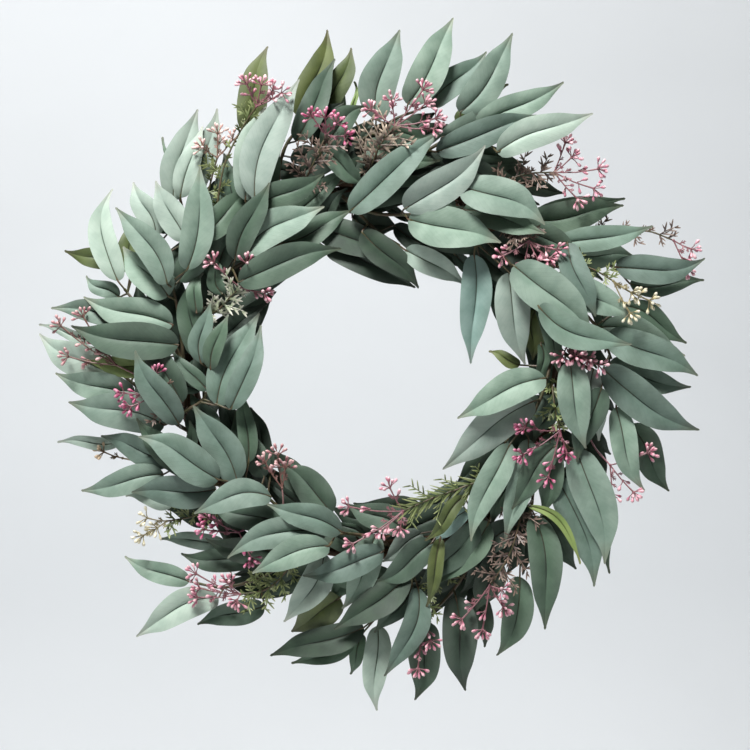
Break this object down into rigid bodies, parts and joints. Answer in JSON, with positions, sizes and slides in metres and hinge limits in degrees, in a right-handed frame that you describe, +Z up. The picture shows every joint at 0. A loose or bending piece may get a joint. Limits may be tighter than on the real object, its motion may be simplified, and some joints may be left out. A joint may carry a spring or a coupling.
{
  "type": "artificial eucalyptus wreath",
  "caption": "Round hanging wreath of long artificial eucalyptus leaves and small pink berry picks on a twisted vine ring.",
  "frame": {"origin": "where a hook or nail would hold the ring, under the inside of its top; the wreath hangs below it", "axes": "+Z up, -Y out from the door towards the viewer, +X to the viewer's right"},
  "size_m": [0.673, 0.0853, 0.698],
  "materials": {
    "leaf": "woven polyester leaves, matt, with plastic-coated wire stems",
    "cane": "bare twisted vine",
    "olive": "matt moulded plastic",
    "brown": "matt moulded plastic",
    "pale": "matt moulded plastic",
    "pink": "matt moulded plastic",
    "rose": "matt moulded plastic",
    "blush": "matt moulded plastic",
    "magenta": "matt moulded plastic",
    "cream": "matt moulded plastic",
    "beige": "matt moulded plastic"
  },
  "bodies": {
    "root": {"RingCane1": "cane", "RingCane2": "cane", "RingCane3": "cane", "SprayLeftLow": "leaf", "SprayLeft": "leaf", "SprayTopLeft": "leaf", "SprayTopLeftFront": "leaf", "SprayTopOuter": "leaf", "SprayTopLeftInner": "leaf", "SprayTopRight": "leaf", "SprayTopInner": "leaf", "SprayRightTopInner": "leaf", "SprayRightTopOuter": "leaf", "SprayRightOuter": "leaf", "SprayRight": "leaf", "SprayLowRight": "leaf", "SprayBottomRight": "leaf", "SprayBottom": "leaf", "SprayBottomInner": "leaf", "SprayBottomLeftInner": "leaf", "SprayBottomLeft": "leaf", "SprayLeftLowOuter": "leaf", "PickTopLeftTwig": "olive", "PickTopLeftBuds": "pink", "PickTopLeftSmallTwig": "olive", "PickTopLeftSmallBuds": "blush", "PickTopMagentaTwig": "brown", "PickTopMagentaBuds": "magenta", "PickTopTwig": "brown", "PickTopBuds": "pink", "PickTopRightTwig": "brown", "PickTopRightBuds": "pink", "PickRightTopTwig": "brown", "PickRightTopBuds": "pink", "PickCreamTwig": "olive", "PickCreamBuds": "cream", "PickRightFarTwig": "brown", "PickRightFarBuds": "pink", "PickRight": "pink", "PickRightMagentaTwig": "olive", "PickRightMagentaBuds": "magenta", "PickRightPale": "pink", "PickLowRightTwig": "brown", "PickLowRightBuds": "pink", "PickBottomTwig": "olive", "PickBottomBuds": "pink", "PickBottomInnerTwig": "olive", "PickBottomInnerBuds": "pink", "PickInnerLeft": "rose", "PickBottomLeftMagenta": "magenta", "PickBottomLeftTwig": "olive", "PickBottomLeftBuds": "pink", "PickLeftCreamTwig": "olive", "PickLeftCreamBuds": "cream", "PickLeftSeed": "beige", "PickLeftTwig": "brown", "PickLeftBuds": "magenta", "PickLeftFar": "rose", "PickLeftInnerTwig": "pale", "PickLeftInnerBuds": "magenta"}
  },
  "joints": []
}
